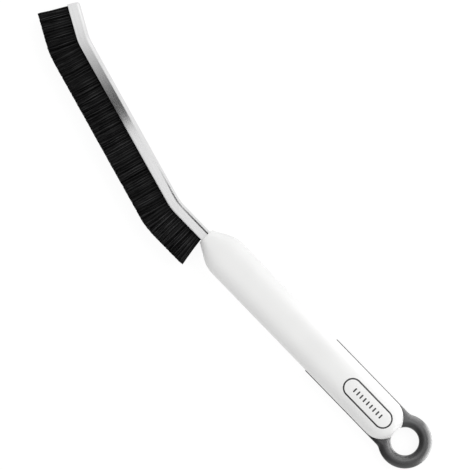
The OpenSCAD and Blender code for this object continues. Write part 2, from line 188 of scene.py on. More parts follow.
# %% A finish under construction
class Finish:
    """A material with one Principled shader, and the nodes that feed it."""

    def __init__(self, name, colour, **constants):
        self.name = name
        self.material = bpy.data.materials.new(name)
        self.material.use_nodes = True
        self.tree = self.material.node_tree
        self.shader = self.tree.nodes["Principled BSDF"]
        self.material.diffuse_color = (*colour, 1.0)
        self.shader.inputs["Base Color"].default_value = (*colour, 1.0)
        for socket, value in constants.items():
            self.shader.inputs[socket.replace("_", " ")].default_value = value

    def node(self, kind, settings=None, inputs=None, output=0):
        """Adds a node: its settings first, then the values or links of its sockets."""
        made = self.tree.nodes.new("ShaderNode" + kind)
        for key, value in (settings or {}).items():
            setattr(made, key, value)
        for key, value in (inputs or {}).items():
            if isinstance(value, Socket):
                self.tree.links.new(value.out, made.inputs[key])
            else:
                made.inputs[key].default_value = value
        return Socket(self, made.outputs[output])

    def feed(self, socket, value):
        """Links a sum to one of the shader's own sockets."""
        self.tree.links.new(value.out, self.shader.inputs[socket])

    def position(self):
        """The place on the piece, in metres along X, Y and Z."""
        return self.node("TexCoord", output="Object")

    def noise(self, where, scale, detail=2.0, roughness=0.5):
        """Soft random hills from 0 to 1 whose size is one over the scale."""
        return self.node("TexNoise", None, {"Vector": where, "Scale": scale, "Detail": detail,
                                            "Roughness": roughness}, "Fac")

    def smooth(self, value, low, high, to_low=0.0, to_high=1.0):
        """A smooth step from one level to another as a value goes from low to high."""
        return self.node("MapRange", {"interpolation_type": "SMOOTHSTEP"},
                         {"Value": value, 1: low, 2: high, 3: to_low, 4: to_high})

    def bump(self, height, depth, strength=1.0):
        """Raises the surface by up to depth metres where height is 1."""
        self.feed("Normal", self.node("Bump", None, {"Strength": strength, "Distance": depth,
                                                     "Height": height}))

    def paint(self, first, second, share, socket="Base Color"):
        """Gives a socket a colour between two others."""
        ends = {0: share, 6: parts_of(first, 1.0), 7: parts_of(second, 1.0)}
        self.feed(socket, self.node("Mix", {"data_type": "RGBA", "clamp_factor": True}, ends, 2))

    def report(self):
        """Says how many nodes the material has."""
        print(f"{self.name}: {len(self.tree.nodes)} nodes")


print("a finish is ready to be mixed")

# %% [markdown]
# The brush was photographed on white. The floor is a white table that is lit from inside: what the
# camera and shiny surfaces see of it is white, and a little plain matt floor keeps a faint shadow
# under the brush. From below the table is clear, so the flat back of the handle can be looked at
# too. The same trick gives the world its white, while it lights the brush less.

# %% Floor and backdrop
FLOOR_HALF = 3.0
FLOOR_GLOW = 0.9
FLOOR_MATT = 0.14
TABLE_GLOW = 0.35
TABLE_MATT = 0.6
WORLD_LIGHT = 0.78


def seen_directly(finish):
    """1 for rays of the camera, of mirrors and of glass, and 0 for light that is scattered."""
    rays = finish.node("LightPath")
    outs = rays.out.node.outputs
    seen = Socket(finish, outs["Is Camera Ray"]) + Socket(finish, outs["Is Glossy Ray"])
    seen = seen + Socket(finish, outs["Is Transmission Ray"])
    return finish.node("Clamp", None, {"Value": seen})


def glow_and_matt(finish, glow, matt):
    """A surface that glows evenly and scatters some light as well."""
    light = finish.node("Emission", None, {"Color": (1, 1, 1, 1), "Strength": glow})
    plain = finish.node("BsdfDiffuse", None, {"Color": (matt, matt, matt, 1)})
    return finish.node("AddShader", None, {0: light, 1: plain})


def sheet(name, finish, half_x, half_y, z=0.0):
    """A flat rectangle about its own origin, with half its sizes in metres."""
    mesh = bpy.data.meshes.new(name)
    corners = [(-1, -1), (1, -1), (1, 1), (-1, 1)]
    mesh.from_pydata([(x * half_x, y * half_y, z) for x, y in corners], [], [(0, 1, 2, 3)])
    mesh.materials.append(finish.material)
    return linked(name, mesh)


paint = Finish("floor_white", (1, 1, 1))
shown = glow_and_matt(paint, FLOOR_GLOW, FLOOR_MATT)
lighting = glow_and_matt(paint, TABLE_GLOW, TABLE_MATT)
top = paint.node("MixShader", None, {0: seen_directly(paint), 1: lighting, 2: shown})
clear = paint.node("BsdfTransparent")
below = paint.node("NewGeometry", output="Backfacing")
whole = paint.node("MixShader", None, {0: below, 1: top, 2: clear})
paint.tree.links.new(whole.out, paint.tree.nodes["Material Output"].inputs["Surface"])
paint.tree.nodes.remove(paint.shader)
floor = sheet("floor", paint, FLOOR_HALF, FLOOR_HALF, -back_t * MM)
floor.visible_glossy = False
floor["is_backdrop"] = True

world = bpy.data.worlds.new("studio")
bpy.context.scene.world = world
world.use_nodes = True
sky = Finish.__new__(Finish)
sky.tree = world.node_tree
strength = seen_directly(sky) * (1 - WORLD_LIGHT) + WORLD_LIGHT
background = sky.tree.nodes["Background"]
background.inputs["Color"].default_value = (1, 1, 1, 1)
sky.tree.links.new(strength.out, background.inputs["Strength"])
bpy.context.scene.view_settings.view_transform = "Standard"
print("floor at", round(-back_t, 2), "mm")

# %% [markdown]
# One wide soft light stands to the right of the picture and gives the handle its gradient from
# bright on the right to light grey on the left. A lamp's place is given as a photographer would: by
# the picture's right and up, and by its height over the brush. Its level is the share of a white
# surface's full brightness that it gives.

# %% Key light
AIM = Vector((120, -8, 3))
UP = Vector((0, 0, 1))
ALONG_Y = Vector((0, 1, 0))
KEY_PLACE = (745, 395, 707)
KEY_LEVEL = 0.385


def studio_place(right, up, height):
    """A place in the studio, by the picture's right and up and the height over the brush."""
    return AIM + screen_right * right + screen_up * up + UP * height


def stand_at(item, place, target, top=UP):
    """Puts a lamp or card at a place in the studio, facing another, with its top edge up."""
    away = (studio_place(*place) - studio_place(*target)).normalized()
    side = top.cross(away).normalized()
    turn = Matrix((side, away.cross(side), away)).transposed()
    item.matrix_world = Matrix.LocRotScale(studio_place(*place) * MM, turn.to_quaternion(), None)


lamp = bpy.data.lights.new("key_light", "AREA")
lamp.shape = "RECTANGLE"
lamp.size, lamp.size_y = 900 * MM, 700 * MM
lamp.energy = KEY_LEVEL * (math.pi * math.hypot(*KEY_PLACE) * MM) ** 2
key_light = linked("key_light", lamp)
stand_at(key_light, KEY_PLACE, (0, 0, 0))
key_light.visible_glossy = False
print(f"key light: {lamp.energy:.2f} W")

# %% [markdown]
# Shiny dark plastic and steel take their looks from what they mirror and not from that light. So
# bright panels are set beside and over the ring, beside the tongue and near the tip, and black
# cards on the left, over the ring's left and over the neck. One more card over the strip fades from
# black to white, which gives the steel its soft dark patch. Only mirrors can see these, so they
# change neither how the white plastic is lit nor the table.

# %% Panels and cards
FADE_LEAST = 0.08


def glowing(name, level):
    """What a card is made of: black at level 0, and a glowing panel above that."""
    return Finish(name, (0, 0, 0), Roughness=1.0, Specular_IOR_Level=0.0,
                  Emission_Color=(1, 1, 1, 1), Emission_Strength=level)


def mirror_card(finish, place, target, width, depth, top=UP):
    """A flat card that only shows in mirrors."""
    card = sheet(finish.name, finish, width * MM / 2, depth * MM / 2)
    stand_at(card, place, target, top)
    for rays in ("camera", "diffuse", "shadow", "transmission"):
        setattr(card, "visible_" + rays, False)
    card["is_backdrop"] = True
    print(f"{finish.name}: {width:.0f} by {depth:.0f} mm")


def faded_card(name, start, end, width, fade_from):
    """A flat card between two places, black at its start and fading to white towards its end."""
    run = studio_place(*end) - studio_place(*start)
    half = run.length / 2
    finish = glowing(name, 1.0)
    along = finish.node("SeparateXYZ", None, {0: finish.position()}, "Y")
    level = finish.node("MapRange", None, {"Value": along, 1: (fade_from - half) * MM, 2: half * MM,
                                           3: FADE_LEAST, 4: 1.0})
    finish.paint((0, 0, 0), (1, 1, 1), level, "Emission Color")
    middle = [(a + b) / 2 for a, b in zip(start, end)]
    mirror_card(finish, middle, (middle[0], middle[1], 0), width, run.length, run.normalized())


for name, level, place, target, width, depth, top in (
        ("ring_panel", 7.5, (330, -160, -60), (78, -160, -60), 480, 560, UP),
        ("tongue_panel", 5.0, (98, -18, 0), (55, -60, 0), 70, 110, UP),
        ("ring_lamp", 4.2, (79, -66, 52), (79, -66, 0), 44, 34, ALONG_Y),
        ("left_card", 0.0, (-500, -100, -50), (0, -100, -50), 1400, 1300, UP),
        ("ring_card", 0.0, (-170, -180, 200), (-170, -180, 0), 470, 330, ALONG_Y),
        ("neck_card", 0.0, (20, 39, 52), (-17, 5, 0), 34, 52, UP),
        ("tip_card", 1.2, (-25, 134, 20), (-85, 117, 20), 30, 60, UP)):
    mirror_card(glowing(name, level), place, target, width, depth, top)
faded_card("strip_card", (-52, 58, 50), (-78, 102, 50), 60, 12)

# %% [markdown]
# Most pieces of the brush are long and smooth, so they are lofted: an outline is carried along a
# line and a skin is stretched over the rings. That gives clean four-sided faces that follow the
# form, where a subdivided block would need its corners pinned. Holes and seats are then cut with
# an exact Boolean, and the cut edges are broken by a small bevel, as a mould leaves them.

# %% Meshes from rings
def new_piece(name, mesh, finish, node):
    """Links a mesh as a piece that rides on the brush and stands for a solid piece."""
    piece = linked(name, mesh)
    mesh.materials.clear()
    mesh.materials.append(finish.material)
    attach(piece, "root")
    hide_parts(node)
    print(f"{name}: {len(mesh.polygons)} faces")


def mesh_of(name, points, faces, weld=0.0):
    """A mesh from points in millimetres, with near points welded and its faces turned outwards."""
    mesh = bpy.data.meshes.new(name)
    mesh.from_pydata([Vector(p) * MM for p in points], [], faces)
    shape = bmesh.new()
    shape.from_mesh(mesh)
    if weld:
        bmesh.ops.remove_doubles(shape, verts=shape.verts, dist=weld * MM)
    bmesh.ops.recalc_face_normals(shape, faces=shape.faces)
    shape.to_mesh(mesh)
    shape.free()
    return mesh


def band_faces(first, count):
    """Four-sided faces between a ring of points, whose first is given, and the next ring."""
    turns = [(first + j, first + (j + 1) % count) for j in range(count)]
    return [(a, b, b + count, a + count) for a, b in turns]


def skin_faces(start, count, rings):
    """The faces of a closed skin over rings of points, from a first point on."""
    faces = [face for k in range(rings - 1) for face in band_faces(start + k * count, count)]
    last = start + (rings - 1) * count
    return faces + [tuple(reversed(range(start, start + count))), tuple(range(last, last + count))]


def loft(name, rings):
    """A closed skin over rings of points, each with as many points as the next."""
    points = [p for ring in rings for p in ring]
    return mesh_of(name, points, skin_faces(0, len(rings[0]), len(rings)))


def prism(name, outline, low, high):
    """A closed block over a flat outline, from one height to another."""
    return loft(name, [[(x, y, z) for x, y in outline] for z in (low, high)])


def arc(centre, radius, start, end, steps):
    """Points of an arc, with its angles in degrees."""
    turns = [math.radians(start + (end - start) * k / steps) for k in range(steps + 1)]
    return [(centre[0] + radius * math.cos(a), centre[1] + radius * math.sin(a)) for a in turns]


print("a block over a square has", len(skin_faces(0, 4, 2)), "faces")

# %% Cuts and soft edges
def cut(mesh, *cutters):
    """Takes the cutters away from a mesh, exactly, and returns the new mesh."""
    body = linked(mesh.name + "_uncut", mesh)
    tools = []
    for cutter in cutters:
        tool = linked(cutter.name, cutter)
        modifier = body.modifiers.new(cutter.name, "BOOLEAN")
        modifier.operation = "DIFFERENCE"
        modifier.solver = "EXACT"
        modifier.object = tool
        tools.append(tool)
    result = baked(body)
    for item in [body, *tools]:
        bpy.data.objects.remove(item)
    return result


def baked(item):
    """The mesh of an object as its modifiers leave it."""
    graph = bpy.context.evaluated_depsgraph_get()
    graph.update()
    return bpy.data.meshes.new_from_object(item.evaluated_get(graph), depsgraph=graph)


def soften(mesh, width, angle=38, segments=2):
    """Breaks the sharp edges of a mesh by a small round bevel, and shades it smoothly."""
    item = linked(mesh.name + "_sharp", mesh)
    modifier = item.modifiers.new("bevel", "BEVEL")
    modifier.width = width * MM
    modifier.segments = segments
    modifier.limit_method = "ANGLE"
    modifier.angle_limit = math.radians(angle)
    modifier.miter_outer = "MITER_ARC"
    result = baked(item)
    bpy.data.objects.remove(item)
    return smooth(result)


def smooth(mesh, angle=50):
    """Shades a mesh smoothly, apart from its edges sharper than an angle in degrees."""
    mesh.shade_smooth()
    mesh.set_sharp_from_angle(angle=math.radians(angle))
    return mesh


print("cut and soften are ready")

# %% [markdown]
# The handle is satin white plastic. Mould makers etch such a cavity with a fine grain, which
# scatters the highlights. A noise of about a third of a millimetre stands for the grain, and a
# slower one makes the gloss a little uneven, as hands do.

# %% White plastic
white = Finish("white_plastic", (0.83, 0.83, 0.825), Roughness=0.4, Specular_IOR_Level=0.2)
place = white.position()
grain = white.noise(place, 3200, 2.0, 0.6)
handling = white.noise(place, 55, 3.0)
white.bump(grain, 0.00001, 0.35)
white.feed("Roughness", 0.34 + 0.14 * handling + 0.05 * grain)
tint = white.smooth(handling, 0.3, 0.75)
white.paint((0.84, 0.84, 0.835), (0.815, 0.815, 0.81), tint)
white.report()

# %% [markdown]
# The front of the handle is one white moulding, with a tapered nose, a straight body and a round
# end. Every section across is the same crown, a superellipse that is flat in the middle and steep
# at its sides, and the round end is that section turned about a centre. The strip's socket and the
# bite that clears the hanging hole are cut afterwards.

# %% Plan and crown of the handle
NOSE_W = 8.0
NOSE_H = 8.1
NOSE_BACK = 1.8
NOSE_SLOPE = math.radians(29.4)
SHOULDER_R = 15.0
NOSE_EDGE_R = 0.4
CROWN_POWER = 3.0
SEAM_EDGE = 0.22
label_low, label_high = box_mm("label_print")
END_X = label_low.x + label_high.y

slope_meets = (handle_half - NOSE_W / 2) / math.tan(NOSE_SLOPE)
shoulder_reach = SHOULDER_R * math.tan(NOSE_SLOPE / 2)
slope_to = slope_meets - shoulder_reach * math.cos(NOSE_SLOPE)
shoulder_to = slope_meets + shoulder_reach
print(f"the nose tapers over {shoulder_to:.1f} mm")


def plan_half(back):
    """Half the handle's width at a distance back from the nose's front face."""
    if back < slope_to:
        return NOSE_W / 2 + back * math.tan(NOSE_SLOPE)
    if back < shoulder_to:
        return handle_half - SHOULDER_R + math.sqrt(SHOULDER_R ** 2 - (shoulder_to - back) ** 2)
    return handle_half


def nose_share(back):
    """0 at the nose's front face and 1 on the straight handle."""
    return (plan_half(back) - NOSE_W / 2) / (handle_half - NOSE_W / 2)


def nose_round(back):
    """How much the rounded front edge takes away."""
    if back >= NOSE_EDGE_R:
        return 0.0
    return NOSE_EDGE_R - math.sqrt(NOSE_EDGE_R ** 2 - (NOSE_EDGE_R - back) ** 2)


def crown(share):
    """Height of the crown, from 1 in the middle to 0 at the side."""
    return (1 - min(1.0, share) ** CROWN_POWER) ** (1 / CROWN_POWER)


def crown_height(x, y):
    """Height of the handle's front above the seam, on its straight part and its round end."""
    return front_h * crown(math.hypot(min(0.0, x - END_X), y) / handle_half)


def nose_places():
    """Distances back from the nose's front at which both shells' sections are set."""
    front = [NOSE_EDGE_R * (1 - math.cos(math.radians(a))) for a in range(0, 90, 15)]
    slope = list(np.linspace(NOSE_EDGE_R, slope_to, 5))
    return front + slope + list(np.linspace(slope_to, shoulder_to, 14)[1:])


# %% Front shell
CROWN_STEPS = 56
SEAM_SHARE = 0.4
END_TURN = 86
END_STEPS = 29
SHELL_SOFT = 0.18
CUT_PAST = 1.0
MOUTH_GAP = 0.1
MOUTH_DRAFT = math.radians(4)
MOUTH_STEPS = 128
HOLE_R = 6.5
SOCKET_HALF = 2.9
SOCKET_LOW = 0.5
SOCKET_HIGH = 5.7


def crown_ring(x, half, height):
    """A section of the front shell at one place along the handle."""
    edge = min(SEAM_EDGE, SEAM_SHARE * half)
    turns = [math.radians(a) for a in (0, 30, 60, 90)]
    side = [(half - edge + edge * math.sin(a), edge - edge * math.cos(a)) for a in turns]
    cosines = [math.cos(math.pi * j / CROWN_STEPS) for j in range(1, CROWN_STEPS)]
    shares = [math.copysign(abs(c) ** (2 / CROWN_POWER), c) for c in cosines]
    top = [(half * u, height(abs(u))) for u in shares]
    return [(x, y, z) for y, z in side + top + [(-y, z) for y, z in reversed(side)]]


def shell_rings():
    """The front shell from its nose to its round end."""
    rings = []
    for back in nose_places() + list(np.linspace(shoulder_to, nose_x - END_X, 16)[1:-1]):
        half = plan_half(back) - nose_round(back)
        top = NOSE_H + (front_h - NOSE_H) * nose_share(back) - nose_round(back)
        rings.append(crown_ring(nose_x - back, half, lambda u: top * crown(u)))
    for turn in [math.radians(a) for a in np.linspace(0, END_TURN, END_STEPS + 1)]:
        s, c = math.sin(turn), math.cos(turn)
        rings.append(crown_ring(END_X - handle_half * s, handle_half * c,
                                lambda u: front_h * crown(math.hypot(s, c * u))))
    return rings


def mouth_cutter():
    """What keeps the round end clear of the hanging hole, a little wider towards the front."""
    rings = []
    for z in (-CUT_PAST, 0.0, front_h + CUT_PAST):
        radius = HOLE_R + MOUTH_GAP + max(0.0, z) * math.tan(MOUTH_DRAFT)
        rings.append([(x, y, z) for x, y in arc((0, 0), radius, 0, 360, MOUTH_STEPS)[:-1]])
    return loft("mouth_cutter", rings)


def socket_cutter():
    """The strip's socket in the nose."""
    low, high = nose_x - shank_len, nose_x + CUT_PAST
    w = SOCKET_HALF
    plan = [(low, -w), (high, -w), (high, w), (low, w)]
    return prism("socket_cutter", plan, SOCKET_LOW, SOCKET_HIGH)


shell_form = loft("front_shell_form", shell_rings())
shell_mesh = soften(cut(shell_form, mouth_cutter(), socket_cutter()), SHELL_SOFT)
new_piece("front_shell_moulding", shell_mesh, white, "front_shell")

# %% [markdown]
# The back of the handle, from the nose to the grey tongue, is a flat white plate with rounded back
# edges. It has the same plan as the front, so the same function gives its width. Where the two
# meet, both edges are a little round, which is the fine parting line that runs round the handle.

# %% Back shell
BACK_EDGE_R = 2.2
BACK_SIDE = 0.3
SEAT_GAP = 0.1
BACK_STEPS = 9


def back_ring(back):
    """A section of the back shell, flat below, with rounded back edges."""
    half = plan_half(back) - nose_round(back)
    depth = NOSE_BACK + (back_t - NOSE_BACK) * nose_share(back) - nose_round(back)
    r = min(BACK_EDGE_R, depth - BACK_SIDE)
    top = arc((half - SEAM_EDGE, -SEAM_EDGE), SEAM_EDGE, 90, 0, 3)
    low = arc((half - r, -depth + r), r, 0, -90, BACK_STEPS)
    side = top + low
    ring = side + [(-y, z) for y, z in reversed(side)]
    return [(nose_x - back, y, z) for y, z in ring]


straight = np.linspace(shoulder_to, nose_x - tongue_len - SEAT_GAP, 10)[1:]
back_rings = [back_ring(back) for back in nose_places() + list(straight)]
back_mesh = smooth(loft("back_shell_form", back_rings))
new_piece("back_shell_moulding", back_mesh, white, "back_shell")

# %% [markdown]
# The hanger is glossy dark grey plastic, so its looks come from what it mirrors. The photograph
# shows soft edges there, so the roughness is a middling one, which a slow noise disturbs a little.
# A hook rubs the hole, so a smooth step on the distance from the origin makes its wall duller.

# %% Grey plastic
RUB_FROM = 0.2
RUB_TO = 1.6
grey = Finish("grey_plastic", (0.034, 0.034, 0.035), Roughness=0.26, IOR=1.5)
place = grey.position()
flow = grey.noise(place, 120, 3.0, 0.55)
fine = grey.noise(place, 2600, 2.0)
flat = place * (1, 1, 0)
out = grey.node("VectorMath", {"operation": "LENGTH"}, {0: flat}, "Value")
rubbed = grey.smooth(out, (HOLE_R + RUB_FROM) * MM, (HOLE_R + RUB_TO) * MM, 1.0, 0.0)
grey.feed("Roughness", 0.34 + 0.08 * flow + 0.1 * rubbed * fine)
grey.paint((0.03, 0.03, 0.031), (0.04, 0.04, 0.041), flow)
grey.bump(fine, 0.000006, 0.25)
grey.report()

# %% [markdown]
# The hanger's plan is one closed line: the ring, a hollow corner on each side, and the tongue. Its
# edges are rounded all round, so the skin is built from copies of that line, each drawn in and
# raised a little. The line is made of arcs and straights, so its inward direction is exact.

# %% Plan of the hanger
TONGUE_PROUD = 0.4
CORNER_R = 5.0
RING_ROUND = 2.95
RING_STEPS = 14
RING_POINTS = 52
TONGUE_POINTS = 24
CORNER_POINTS = 24
SPIKE_FROM = 8.0
SPIKE_TO = 17.5
SPIKE_LOW = 0.08
tongue_half = handle_half + TONGUE_PROUD


def smooth_step(value, low, high):
    """0 below low, 1 above high and a smooth step between."""
    share = min(1.0, max(0.0, (value - low) / (high - low)))
    return share * share * (3 - 2 * share)


def plate_top(x):
    """Height of the hanger's upper face, which runs out beside the round end."""
    return back_t * (1 - (1 - SPIKE_LOW) * smooth_step(x, SPIKE_FROM, SPIKE_TO))


def hanger_plan():
    """The hanger's outline as points with their inward direction and their share of tongue."""
    corner_y = tongue_half + CORNER_R
    corner_x = math.sqrt((ring_r + CORNER_R) ** 2 - corner_y ** 2)
    turn = math.degrees(math.atan2(corner_x, corner_y))
    meets = math.degrees(math.atan2(corner_y, corner_x))
    half = []
    for x in np.linspace(tongue_len, corner_x, TONGUE_POINTS)[:-1]:
        half.append((x, tongue_half, 0.0, -1.0, 1.0))
    for x, y in arc((corner_x, corner_y), CORNER_R, 270, 270 - turn, CORNER_POINTS)[:-1]:
        inward = Vector((x - corner_x, y - corner_y)).normalized()
        tongue = 1 - smooth_step(len(half) - TONGUE_POINTS + 1, 0, CORNER_POINTS)
        half.append((x, y, inward.x, inward.y, tongue))
    for x, y in arc((0, 0), ring_r, meets, 180, RING_POINTS):
        inward = -Vector((x, y)).normalized()
        half.append((x, y, inward.x, inward.y, 0.0))
    other = [(x, -y, nx, -ny, tongue) for x, y, nx, ny, tongue in reversed(half[:-1])]
    return half + other


def edge_profile(tongue):
    """Steps in and up of the rounded edge, from the middle plane to the face."""
    steps = []
    for k in range(RING_STEPS + 1):
        a = math.pi / 2 * k / RING_STEPS
        ring = (RING_ROUND * (1 - math.cos(a)), back_t * math.sin(a))
        b = math.pi / 2 * max(0, k - 1) / (RING_STEPS - 1)
        rise = 0.0 if k == 0 else back_t - BACK_EDGE_R + BACK_EDGE_R * math.sin(b)
        straight = (BACK_EDGE_R * (1 - math.cos(b)), rise)
        steps.append([(1 - tongue) * r + tongue * s for r, s in zip(ring, straight)])
    return steps


print("the hanger's outline has", len(hanger_plan()), "points")

# %% [markdown]
# The flat top and bottom are filled with a Delaunay mesh, which joins the outline to the hole's rim
# by even triangles. Then the seat of the front shell is cut out of the top. That leaves a narrow
# ledge beside the shell, the thin dark line of the photograph, and its upper edge is rounded.

# %% Skin of the hanger
HOLE_STEPS = 112
GRID_CLEAR = 0.6
FLAT_MARGIN = 0.05
WELD = 0.002


def inner_grid(outer):
    """Points a millimetre apart in the flat between the ring and the tongue's start."""
    found = []
    for x in range(2, 22):
        for y in range(-8, 9):
            to_edge = min(math.hypot(x - p[0], y - p[1]) for p in outer)
            if min(to_edge, math.hypot(x, y) - HOLE_R - RING_ROUND) > GRID_CLEAR:
                found.append((float(x), float(y)))
    return found


def hanger_form():
    """The hanger before its seat is cut: a ring and a tongue of one thickness."""
    hole = [(x, y, x / HOLE_R, y / HOLE_R, 0.0)
            for x, y in arc((0, 0), HOLE_R, 0, 360, HOLE_STEPS)[:-1]]
    points, faces, rims = [], [], []
    for line in (hanger_plan(), hole):
        levels = []
        for side in (1, -1):
            for k in range(RING_STEPS + 1):
                ring = []
                for x, y, nx, ny, tongue in line:
                    inset, rise = edge_profile(tongue)[k]
                    px, py = x + nx * inset, y + ny * inset
                    top = plate_top(px) / back_t if side > 0 else 1.0
                    ring.append((px, py, side * rise * top))
                levels.append(ring)
        order = list(reversed(levels[RING_STEPS + 2:])) + levels[:RING_STEPS + 1]
        for k, ring in enumerate(order):
            if k < len(order) - 1:
                faces.extend(band_faces(len(points), len(line)))
            points.extend(ring)
        rims.append((order[0], order[-1]))
    for level, side in ((0, -1), (1, 1)):
        outer, inner = [rim[level] for rim in rims]
        flat = [(p[0], p[1]) for p in outer + inner] + inner_grid(outer)
        edges = [(first + j, first + (j + 1) % len(rim))
                 for first, rim in ((0, outer), (len(outer), inner)) for j in range(len(rim))]
        made = delaunay_2d_cdt([Vector(p) for p in flat], edges, [], 1, 1e-6)
        start = len(points)
        points.extend((v.x, v.y, side * (plate_top(v.x) if side > 0 else back_t)) for v in made[0])
        for face in made[2]:
            if max(made[0][v].length for v in face) > HOLE_R + RING_ROUND + FLAT_MARGIN:
                faces.append(tuple(start + v for v in face))
    return mesh_of("hanger_form", points, faces, WELD)


whole_hanger = hanger_form()
print("the uncut hanger has", len(whole_hanger.polygons), "faces")

# %% Seat and ledge
SEAT_STEPS = 96
LEDGE_GAP = 0.05
LEDGE_ROUND = 0.5
HANGER_SOFT = 0.12
cut_to = tongue_len + CUT_PAST
cut_half = tongue_half + CUT_PAST


def seat_cutter():
    """The space of the front shell above the tongue."""
    round_end = arc((END_X, 0), handle_half + SEAT_GAP, 90, 270, SEAT_STEPS)
    plan = [(END_X, -cut_half), (cut_to, -cut_half), (cut_to, cut_half), (END_X, cut_half)]
    return prism("seat_cutter", round_end + plan, 0.0, back_t + CUT_PAST)


def ledge_cutter(side):
    """What rounds the tongue's upper edge beside the front shell, deeper from the corner on."""
    start = handle_half + SEAT_GAP + LEDGE_GAP
    rings = []
    for x, share in ((END_X + 0.5, 0.05), (END_X + 3, 0.4), (END_X + 7, 1.0), (cut_to, 1.0)):
        drops = [(start + (tongue_half - start) * math.sin(a),
                  -LEDGE_ROUND * share * (1 - math.cos(a)))
                 for a in [math.radians(15 * k) for k in range(7)]]
        line = [(start, CUT_PAST), *drops, (cut_half, drops[-1][1]), (cut_half, CUT_PAST)]
        rings.append([(x, side * y, z) for y, z in line])
    return loft("ledge_cutter", rings)


cut_hanger = cut(whole_hanger, seat_cutter(), ledge_cutter(1), ledge_cutter(-1))
hanger_mesh = soften(cut_hanger, HANGER_SOFT)
new_piece("hanger_moulding", hanger_mesh, grey, "hanger")

# %% [markdown]
# The label is a dark line in the shape of a pill, pressed into the white crown, with a row of plain
# marks inside it. Both follow the crown's height at every point, so they lie in the surface and not
# above it. The outline is a band round a closed path, and each mark is a bar with round ends.

# %% Label ink
ink = Finish("label_ink", (0.03, 0.03, 0.031), Roughness=0.55, Specular_IOR_Level=0.2)
print_grain = ink.noise(ink.position(), 5200, 2.0)
ink.paint((0.024, 0.024, 0.025), (0.036, 0.036, 0.037), print_grain)
ink.feed("Roughness", 0.46 + 0.1 * print_grain)
ink.report()

# %% Label
LABEL_LINE = 0.75
LABEL_RISE = 0.03
LABEL_SINK = 0.5
LABEL_STEPS = 40
LABEL_SHARP = 60
MARK_COUNT = 9
MARK_LEN = 2.4
MARK_PITCH = 2.1
label_far = label_high.x - label_high.y


def label_path():
    """The middle of the outline's line, with the outward direction at every point."""
    r = label_high.y - LABEL_LINE / 2
    path = [((centre + r * math.cos(a), r * math.sin(a)), (math.cos(a), math.sin(a)))
            for centre, start in ((END_X, 90), (label_far, -90))
            for a in [math.radians(start + 180 * k / LABEL_STEPS) for k in range(LABEL_STEPS + 1)]]
    fuller = []
    for ((x, y), out), (ahead, _) in zip(path, path[1:] + path[:1]):
        steps = max(1, int(math.dist((x, y), ahead)))
        fuller += [((x + (ahead[0] - x) * (k / steps), y), out) for k in range(steps)]
    return fuller


def label_band():
    """The outline as a band that follows the crown."""
    half = LABEL_LINE / 2
    side = [(-half, -LABEL_SINK), (-half, 0.0), (-0.8 * half, LABEL_RISE)]
    section = side + [(0.0, LABEL_RISE)] + [(-out, rise) for out, rise in reversed(side)]
    path = label_path()
    points = [(x + ox * s, y + oy * s, crown_height(x + ox * s, y + oy * s) + rise)
              for (x, y), (ox, oy) in path for s, rise in section]
    bands = [band_faces(k * len(section), len(section)) for k in range(len(path))]
    return points, [tuple(v % len(points) for v in face) for band in bands for face in band]


def label_mark(x):
    """One plain mark across the label, with round ends."""
    r = LABEL_LINE / 2
    reach = MARK_LEN / 2 - r
    rings = []
    for inset, rise in ((0.0, -LABEL_SINK), (0.0, 0.0), (0.06, LABEL_RISE), (0.16, LABEL_RISE)):
        line = arc((x, reach), r - inset, 0, 180, 10) + arc((x, -reach), r - inset, 180, 360, 10)
        rings.append([(px, py, crown_height(px, py) + rise) for px, py in line])
    return [p for ring in rings for p in ring], skin_faces(0, len(rings[0]), len(rings))


def joined(name, parts):
    """One mesh from several lists of points and faces."""
    points, faces = [], []
    for some_points, some_faces in parts:
        start = len(points)
        points.extend(some_points)
        faces.extend(tuple(start + v for v in face) for face in some_faces)
    return mesh_of(name, points, faces)


middle = (END_X + label_far) / 2
marks = [label_mark(middle + (k - (MARK_COUNT - 1) / 2) * MARK_PITCH) for k in range(MARK_COUNT)]
label_mesh = smooth(joined("label_inlay", [label_band(), *marks]), LABEL_SHARP)
new_piece("label_inlay", label_mesh, ink, "label_print")

# %% [markdown]
# The strip is rolled from stainless sheet: a channel with a rounded spine and open lips. It leaves
# the nose straight, bends twice towards the bristles, and carries its section along that line. The
# line's direction at any distance from the nose is worked out first, and everything that follows
# the strip, also the bristles, asks it.

# %% Line of the strip
NECK_LEN = 17.1
MIDDLE_LEN = 81.0
TIP_LEN = 15.1
NEAR_BEND = 15.0
FAR_BEND = 13.3
BEND_R = 23.2

near_from = NECK_LEN
near_to = near_from + BEND_R * math.radians(NEAR_BEND)
far_from = near_to + MIDDLE_LEN
far_to = far_from + BEND_R * math.radians(FAR_BEND)
strip_end = far_to + TIP_LEN


def heading(d):
    """Direction of the strip's middle line at a distance from the nose, in degrees."""
    near = min(1.0, max(0.0, (d - near_from) / (near_to - near_from)))
    far = min(1.0, max(0.0, (d - far_from) / (far_to - far_from)))
    return -NEAR_BEND * near - FAR_BEND * far


def step_along(start, turn, length):
    return start + Vector((math.cos(math.radians(turn)), math.sin(math.radians(turn)))) * length


def bend_from(start, first, last):
    """Where a bend ends that turns the line from one direction to another."""
    a, b = math.radians(first), math.radians(last)
    return start + BEND_R * Vector((math.sin(a) - math.sin(b), math.cos(b) - math.cos(a)))


def line_point(d):
    """The strip's middle line at a distance from the nose, in plan."""
    turn = heading(d)
    point = step_along(Vector((nose_x, 0)), 0, min(d, near_from))
    if d > near_from:
        point = bend_from(point, 0, max(turn, -NEAR_BEND))
    if d > near_to:
        point = step_along(point, -NEAR_BEND, min(d - near_to, MIDDLE_LEN))
    if d > far_from:
        point = bend_from(point, -NEAR_BEND, turn)
    if d > far_to:
        point = step_along(point, -NEAR_BEND - FAR_BEND, d - far_to)
    return point


